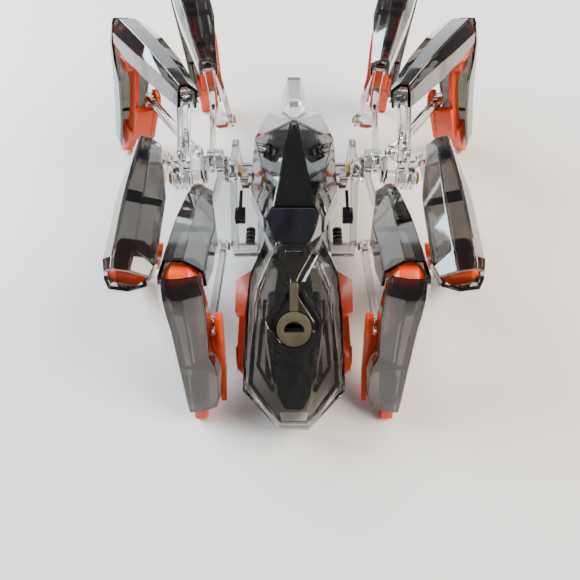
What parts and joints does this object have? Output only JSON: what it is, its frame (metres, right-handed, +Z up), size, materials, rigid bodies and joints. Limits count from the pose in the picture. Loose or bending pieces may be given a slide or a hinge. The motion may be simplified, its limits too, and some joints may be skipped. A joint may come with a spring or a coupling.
{
  "type": "walking spider robot",
  "caption": "Clip-together walking spider robot: smoked faceted head and abdomen, clear linkage frame, smoked leg armour over orange claws.",
  "frame": {"origin": "middle of the footprint's bounding box, on the floor the feet stand on", "axes": "+Y towards the head, +Z up, +X to the robot's right"},
  "size_m": [0.2358, 0.2544, 0.0913],
  "materials": {
    "smoked_plastic": "smoked transparent, polished",
    "clear_smoke_plastic": "lightly smoked transparent, polished",
    "clear_plastic": "colourless transparent, polished",
    "orange_plastic": "bright orange, slightly translucent",
    "black_plastic": "glossy black",
    "olive_plastic": "smoked olive, satin",
    "circuit_board": "green board",
    "battery_cell": "dark wrap",
    "motor_steel": "brushed"
  },
  "bodies": {
    "body": {"chassis": "clear_plastic", "head_dome": "smoked_plastic", "head_horn": "clear_smoke_plastic", "sensor_panel": "black_plastic", "abdomen_shell": "smoked_plastic", "belly_tray": "clear_smoke_plastic", "circuit_board": "circuit_board", "battery_pack": "battery_cell", "left_side_insert": "orange_plastic", "left_motor": "motor_steel", "left_crankshaft": "clear_plastic", "left_rear_inner_hip_link": "clear_plastic", "left_rear_outer_hip_link": "clear_plastic", "left_front_outer_hip_link": "clear_plastic", "left_front_inner_hip_link": "clear_plastic", "right_side_insert": "orange_plastic", "right_motor": "motor_steel", "right_crankshaft": "clear_plastic", "right_rear_inner_hip_link": "clear_plastic", "right_rear_outer_hip_link": "clear_plastic", "right_front_outer_hip_link": "clear_plastic", "right_front_inner_hip_link": "clear_plastic"},
    "left_rear_inner_femur": {"left_rear_inner_femur_armour": "smoked_plastic"},
    "left_rear_inner_tibia": {"left_rear_inner_claw": "orange_plastic", "left_rear_inner_tibia_armour": "smoked_plastic"},
    "left_rear_inner_tie": {"left_rear_inner_tie_rod": "clear_plastic"},
    "left_rear_outer_femur": {"left_rear_outer_femur_armour": "smoked_plastic"},
    "left_rear_outer_tibia": {"left_rear_outer_claw": "orange_plastic", "left_rear_outer_tibia_armour": "smoked_plastic"},
    "left_rear_outer_tie": {"left_rear_outer_tie_rod": "clear_plastic"},
    "left_front_outer_femur": {"left_front_outer_femur_armour": "smoked_plastic"},
    "left_front_outer_tibia": {"left_front_outer_claw": "orange_plastic", "left_front_outer_tibia_armour": "smoked_plastic"},
    "left_front_outer_tie": {"left_front_outer_tie_rod": "clear_plastic"},
    "left_front_inner_femur": {"left_front_inner_femur_armour": "smoked_plastic"},
    "left_front_inner_tibia": {"left_front_inner_claw": "orange_plastic", "left_front_inner_tibia_armour": "smoked_plastic"},
    "left_front_inner_tie": {"left_front_inner_tie_rod": "clear_plastic"},
    "right_rear_inner_femur": {"right_rear_inner_femur_armour": "smoked_plastic"},
    "right_rear_inner_tibia": {"right_rear_inner_claw": "orange_plastic", "right_rear_inner_tibia_armour": "smoked_plastic"},
    "right_rear_inner_tie": {"right_rear_inner_tie_rod": "clear_plastic"},
    "right_rear_outer_femur": {"right_rear_outer_femur_armour": "smoked_plastic"},
    "right_rear_outer_tibia": {"right_rear_outer_claw": "orange_plastic", "right_rear_outer_tibia_armour": "smoked_plastic"},
    "right_rear_outer_tie": {"right_rear_outer_tie_rod": "clear_plastic"},
    "right_front_outer_femur": {"right_front_outer_femur_armour": "smoked_plastic"},
    "right_front_outer_tibia": {"right_front_outer_claw": "orange_plastic", "right_front_outer_tibia_armour": "smoked_plastic"},
    "right_front_outer_tie": {"right_front_outer_tie_rod": "clear_plastic"},
    "right_front_inner_femur": {"right_front_inner_femur_armour": "smoked_plastic"},
    "right_front_inner_tibia": {"right_front_inner_claw": "orange_plastic", "right_front_inner_tibia_armour": "smoked_plastic"},
    "right_front_inner_tie": {"right_front_inner_tie_rod": "clear_plastic"},
    "left_drive": {"left_drive_gear": "clear_plastic"},
    "left_pinion": {"left_motor_pinion": "olive_plastic"},
    "right_drive": {"right_drive_gear": "clear_plastic"},
    "right_pinion": {"right_motor_pinion": "olive_plastic"},
    "lock_knob": {"lock_knob": "olive_plastic"},
    "power_switch": {"power_switch": "black_plastic"}
  },
  "joints": [
    {"name": "left_rear_inner_hip_joint", "type": "hinge", "parent": "body", "child": "left_rear_inner_femur", "pos_m": [-0.047, -0.01817, 0.045], "axis": [1, 0, 0], "range_deg": [-8, 8]},
    {"name": "left_rear_inner_knee_joint", "type": "hinge", "parent": "left_rear_inner_femur", "child": "left_rear_inner_tibia", "pos_m": [-0.047, -0.07206, 0.06356], "axis": [1, 0, 0], "range_deg": [-8, 8]},
    {"name": "left_rear_inner_tie_joint", "type": "hinge", "parent": "body", "child": "left_rear_inner_tie", "pos_m": [-0.047, -0.0268, 0.01655], "axis": [1, 0, 0], "range_deg": [-8, 8]},
    {"name": "left_rear_outer_hip_joint", "type": "hinge", "parent": "body", "child": "left_rear_outer_femur", "pos_m": [-0.069, -0.00917, 0.07], "axis": [0.9432, 0, -0.3323], "range_deg": [-8, 8]},
    {"name": "left_rear_outer_knee_joint", "type": "hinge", "parent": "left_rear_outer_femur", "child": "left_rear_outer_tibia", "pos_m": [-0.069, -0.06617, 0.07], "axis": [0.9432, 0, -0.3323], "range_deg": [-8, 8]},
    {"name": "left_rear_outer_tie_joint", "type": "hinge", "parent": "body", "child": "left_rear_outer_tie", "pos_m": [-0.07643, 0.01044, 0.04892], "axis": [0.9432, 0, -0.3323], "range_deg": [-8, 8]},
    {"name": "left_front_outer_hip_joint", "type": "hinge", "parent": "body", "child": "left_front_outer_femur", "pos_m": [-0.053, 0.01783, 0.08], "axis": [-0.7824, -0.5249, 0.335], "range_deg": [-8, 8]},
    {"name": "left_front_outer_knee_joint", "type": "hinge", "parent": "left_front_outer_femur", "child": "left_front_outer_tibia", "pos_m": [-0.08632, 0.0637, 0.07404], "axis": [-0.7824, -0.5249, 0.335], "range_deg": [-8, 8]},
    {"name": "left_front_outer_tie_joint", "type": "hinge", "parent": "body", "child": "left_front_outer_tie", "pos_m": [-0.05814, 0.00791, 0.05245], "axis": [-0.7824, -0.5249, 0.335], "range_deg": [-8, 8]},
    {"name": "left_front_inner_hip_joint", "type": "hinge", "parent": "body", "child": "left_front_inner_femur", "pos_m": [-0.048, 0.05983, 0.065], "axis": [-0.9554, -0.2882, 0.0646], "range_deg": [-8, 8]},
    {"name": "left_front_inner_knee_joint", "type": "hinge", "parent": "left_front_inner_femur", "child": "left_front_inner_tibia", "pos_m": [-0.06337, 0.11343, 0.07685], "axis": [-0.9554, -0.2882, 0.0646], "range_deg": [-8, 8]},
    {"name": "left_front_inner_tie_joint", "type": "hinge", "parent": "body", "child": "left_front_inner_tie", "pos_m": [-0.04505, 0.04439, 0.03977], "axis": [-0.9554, -0.2882, 0.0646], "range_deg": [-8, 8]},
    {"name": "right_rear_inner_hip_joint", "type": "hinge", "parent": "body", "child": "right_rear_inner_femur", "pos_m": [0.047, -0.01817, 0.045], "axis": [1, 0, 0], "range_deg": [-8, 8]},
    {"name": "right_rear_inner_knee_joint", "type": "hinge", "parent": "right_rear_inner_femur", "child": "right_rear_inner_tibia", "pos_m": [0.047, -0.07206, 0.06356], "axis": [1, 0, 0], "range_deg": [-8, 8]},
    {"name": "right_rear_inner_tie_joint", "type": "hinge", "parent": "body", "child": "right_rear_inner_tie", "pos_m": [0.047, -0.0268, 0.01655], "axis": [1, 0, 0], "range_deg": [-8, 8]},
    {"name": "right_rear_outer_hip_joint", "type": "hinge", "parent": "body", "child": "right_rear_outer_femur", "pos_m": [0.069, -0.00917, 0.07], "axis": [0.9432, 0, 0.3323], "range_deg": [-8, 8]},
    {"name": "right_rear_outer_knee_joint", "type": "hinge", "parent": "right_rear_outer_femur", "child": "right_rear_outer_tibia", "pos_m": [0.069, -0.06617, 0.07], "axis": [0.9432, 0, 0.3323], "range_deg": [-8, 8]},
    {"name": "right_rear_outer_tie_joint", "type": "hinge", "parent": "body", "child": "right_rear_outer_tie", "pos_m": [0.07643, 0.01044, 0.04892], "axis": [0.9432, 0, 0.3323], "range_deg": [-8, 8]},
    {"name": "right_front_outer_hip_joint", "type": "hinge", "parent": "body", "child": "right_front_outer_femur", "pos_m": [0.053, 0.01783, 0.08], "axis": [-0.7824, 0.5249, -0.335], "range_deg": [-8, 8]},
    {"name": "right_front_outer_knee_joint", "type": "hinge", "parent": "right_front_outer_femur", "child": "right_front_outer_tibia", "pos_m": [0.08632, 0.0637, 0.07404], "axis": [-0.7824, 0.5249, -0.335], "range_deg": [-8, 8]},
    {"name": "right_front_outer_tie_joint", "type": "hinge", "parent": "body", "child": "right_front_outer_tie", "pos_m": [0.05814, 0.00791, 0.05245], "axis": [-0.7824, 0.5249, -0.335], "range_deg": [-8, 8]},
    {"name": "right_front_inner_hip_joint", "type": "hinge", "parent": "body", "child": "right_front_inner_femur", "pos_m": [0.048, 0.05983, 0.065], "axis": [-0.9554, 0.2882, -0.0646], "range_deg": [-8, 8]},
    {"name": "right_front_inner_knee_joint", "type": "hinge", "parent": "right_front_inner_femur", "child": "right_front_inner_tibia", "pos_m": [0.06337, 0.11343, 0.07685], "axis": [-0.9554, 0.2882, -0.0646], "range_deg": [-8, 8]},
    {"name": "right_front_inner_tie_joint", "type": "hinge", "parent": "body", "child": "right_front_inner_tie", "pos_m": [0.04505, 0.04439, 0.03977], "axis": [-0.9554, 0.2882, -0.0646], "range_deg": [-8, 8]},
    {"name": "left_drive_gear_spin", "type": "hinge", "parent": "body", "child": "left_drive", "pos_m": [-0.028, 0.00783, 0.035], "axis": [1, 0, 0], "continuous": true},
    {"name": "left_pinion_spin", "type": "hinge", "parent": "body", "child": "left_pinion", "pos_m": [-0.028, 0.00783, 0.0285], "axis": [1, 0, 0], "continuous": true},
    {"name": "right_drive_gear_spin", "type": "hinge", "parent": "body", "child": "right_drive", "pos_m": [0.028, 0.00783, 0.035], "axis": [1, 0, 0], "continuous": true},
    {"name": "right_pinion_spin", "type": "hinge", "parent": "body", "child": "right_pinion", "pos_m": [0.028, 0.00783, 0.0285], "axis": [1, 0, 0], "continuous": true},
    {"name": "lock_turn", "type": "hinge", "parent": "body", "child": "lock_knob", "pos_m": [0, -0.08677, 0.0443], "axis": [0, -0.4644, 0.8856], "range_deg": [0, 90]},
    {"name": "switch_slide", "type": "slide", "parent": "body", "child": "power_switch", "axis": [0, 1, 0], "range_m": [0, 0.0078]}
  ],
  "couplings": [
    {"joint": "left_rear_inner_knee_joint", "follows": "left_rear_inner_hip_joint", "ratio": -1},
    {"joint": "left_rear_inner_tie_joint", "follows": "left_rear_inner_hip_joint", "ratio": 1},
    {"joint": "left_rear_outer_hip_joint", "follows": "left_rear_inner_hip_joint", "ratio": -1},
    {"joint": "left_rear_outer_knee_joint", "follows": "left_rear_inner_hip_joint", "ratio": 1},
    {"joint": "left_rear_outer_tie_joint", "follows": "left_rear_inner_hip_joint", "ratio": -1},
    {"joint": "left_front_outer_hip_joint", "follows": "left_rear_inner_hip_joint", "ratio": -1},
    {"joint": "left_front_outer_knee_joint", "follows": "left_rear_inner_hip_joint", "ratio": 1},
    {"joint": "left_front_outer_tie_joint", "follows": "left_rear_inner_hip_joint", "ratio": -1},
    {"joint": "left_front_inner_hip_joint", "follows": "left_rear_inner_hip_joint", "ratio": 1},
    {"joint": "left_front_inner_knee_joint", "follows": "left_rear_inner_hip_joint", "ratio": -1},
    {"joint": "left_front_inner_tie_joint", "follows": "left_rear_inner_hip_joint", "ratio": 1},
    {"joint": "right_rear_inner_knee_joint", "follows": "right_rear_inner_hip_joint", "ratio": -1},
    {"joint": "right_rear_inner_tie_joint", "follows": "right_rear_inner_hip_joint", "ratio": 1},
    {"joint": "right_rear_outer_hip_joint", "follows": "right_rear_inner_hip_joint", "ratio": -1},
    {"joint": "right_rear_outer_knee_joint", "follows": "right_rear_inner_hip_joint", "ratio": 1},
    {"joint": "right_rear_outer_tie_joint", "follows": "right_rear_inner_hip_joint", "ratio": -1},
    {"joint": "right_front_outer_hip_joint", "follows": "right_rear_inner_hip_joint", "ratio": -1},
    {"joint": "right_front_outer_knee_joint", "follows": "right_rear_inner_hip_joint", "ratio": 1},
    {"joint": "right_front_outer_tie_joint", "follows": "right_rear_inner_hip_joint", "ratio": -1},
    {"joint": "right_front_inner_hip_joint", "follows": "right_rear_inner_hip_joint", "ratio": 1},
    {"joint": "right_front_inner_knee_joint", "follows": "right_rear_inner_hip_joint", "ratio": -1},
    {"joint": "right_front_inner_tie_joint", "follows": "right_rear_inner_hip_joint", "ratio": 1},
    {"joint": "left_pinion_spin", "follows": "left_drive_gear_spin", "ratio": -2},
    {"joint": "right_pinion_spin", "follows": "right_drive_gear_spin", "ratio": -2}
  ]
}
